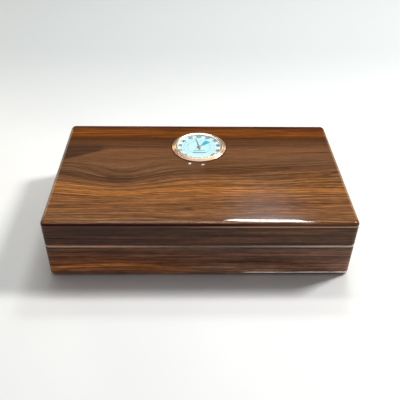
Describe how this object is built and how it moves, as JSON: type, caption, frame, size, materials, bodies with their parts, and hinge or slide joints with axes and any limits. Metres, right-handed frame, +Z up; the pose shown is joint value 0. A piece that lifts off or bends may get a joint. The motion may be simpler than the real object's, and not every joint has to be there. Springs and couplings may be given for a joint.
{
  "type": "desk humidor",
  "caption": "Lacquered walnut desk humidor: hinged lid with an inset dial hygrometer, cedar lining, sliding divider and a magnet-held humidifier.",
  "frame": {"origin": "centre of the underside of the felt, on the surface that the box stands on", "axes": "+X along the box's length, to the right seen from the front; +Y from the front to the hinged back; +Z up"},
  "size_m": [0.25, 0.1536, 0.0587],
  "materials": {
    "walnut": "high-gloss lacquer over walnut",
    "plywood": "sanded, unfinished",
    "cedar": "sanded, unfinished cedar",
    "felt": "pressed felt",
    "hinge_brass": "polished",
    "pin_steel": "ground",
    "bezel_gold": "polished, pale gold",
    "lens_glass": "clear",
    "case_steel": "pressed and plated",
    "rubber": "ribbed",
    "dial_enamel": "satin enamel",
    "needle_enamel": "satin enamel",
    "movement_brass": "turned",
    "black_plastic": "moulded, fine matt texture",
    "foam": "open-cell foam",
    "magnet_nickel": "nickel plate"
  },
  "bodies": {
    "base": {"base_back_wall": "walnut", "base_bottom_panel": "plywood", "base_felt": "felt", "base_front_wall": "walnut", "base_left_wall": "walnut", "base_lining_back": "cedar", "base_lining_floor": "cedar", "base_lining_front": "cedar", "base_lining_left": "cedar", "base_lining_right": "cedar", "base_right_wall": "walnut", "hinge_base_screws": "hinge_brass", "hinge_left_base_leaf": "hinge_brass", "hinge_left_pin": "pin_steel", "hinge_right_base_leaf": "hinge_brass", "hinge_right_pin": "pin_steel"},
    "lid": {"hinge_left_lid_leaf": "hinge_brass", "hinge_lid_screws": "hinge_brass", "hinge_right_lid_leaf": "hinge_brass", "humidifier_case": "black_plastic", "humidifier_foam": "foam", "humidifier_grille": "black_plastic", "humidifier_magnets": "magnet_nickel", "humidifier_plate": "pin_steel", "hygrometer_bezel": "bezel_gold", "hygrometer_case": "case_steel", "hygrometer_dial": "dial_enamel", "hygrometer_grip_ring": "rubber", "hygrometer_lens": "lens_glass", "lid_back_wall": "walnut", "lid_front_wall": "walnut", "lid_left_wall": "walnut", "lid_lining_back": "cedar", "lid_lining_front": "cedar", "lid_lining_left": "cedar", "lid_lining_right": "cedar", "lid_lining_top": "cedar", "lid_right_wall": "walnut", "lid_top_panel": "walnut"},
    "stay_left": {"hinge_left_stay": "hinge_brass"},
    "stay_right": {"hinge_right_stay": "hinge_brass"},
    "needle": {"hygrometer_arbor": "movement_brass", "hygrometer_needle": "needle_enamel"},
    "adjuster": {"hygrometer_adjuster": "movement_brass", "hygrometer_coil": "movement_brass"},
    "divider": {"divider": "cedar"}
  },
  "joints": [
    {"name": "lid_hinge", "type": "hinge", "parent": "base", "child": "lid", "pos_m": [0, 0.0765, 0.0328], "axis": [-1, 0, 0], "range_deg": [0, 95]},
    {"name": "stay_left_swing", "type": "hinge", "parent": "base", "child": "stay_left", "pos_m": [0, 0.0765, 0.0328], "axis": [-1, 0, 0], "range_deg": [0, 47.5]},
    {"name": "stay_right_swing", "type": "hinge", "parent": "base", "child": "stay_right", "pos_m": [0, 0.0765, 0.0328], "axis": [-1, 0, 0], "range_deg": [0, 47.5]},
    {"name": "needle_turn", "type": "hinge", "parent": "lid", "child": "needle", "pos_m": [0, 0.0353, 0.0565], "axis": [0, 0, 1], "range_deg": [-145.8, 124.2]},
    {"name": "adjuster_turn", "type": "hinge", "parent": "lid", "child": "adjuster", "pos_m": [0, 0.0353, 0.0565], "axis": [0, 0, 1], "range_deg": [-20, 20]},
    {"name": "divider_slide", "type": "slide", "parent": "base", "child": "divider", "axis": [1, 0, 0], "range_m": [-0.18, 0.036]}
  ],
  "couplings": [
    {"joint": "stay_left_swing", "follows": "lid_hinge", "ratio": 0.5},
    {"joint": "stay_right_swing", "follows": "lid_hinge", "ratio": 0.5}
  ]
}
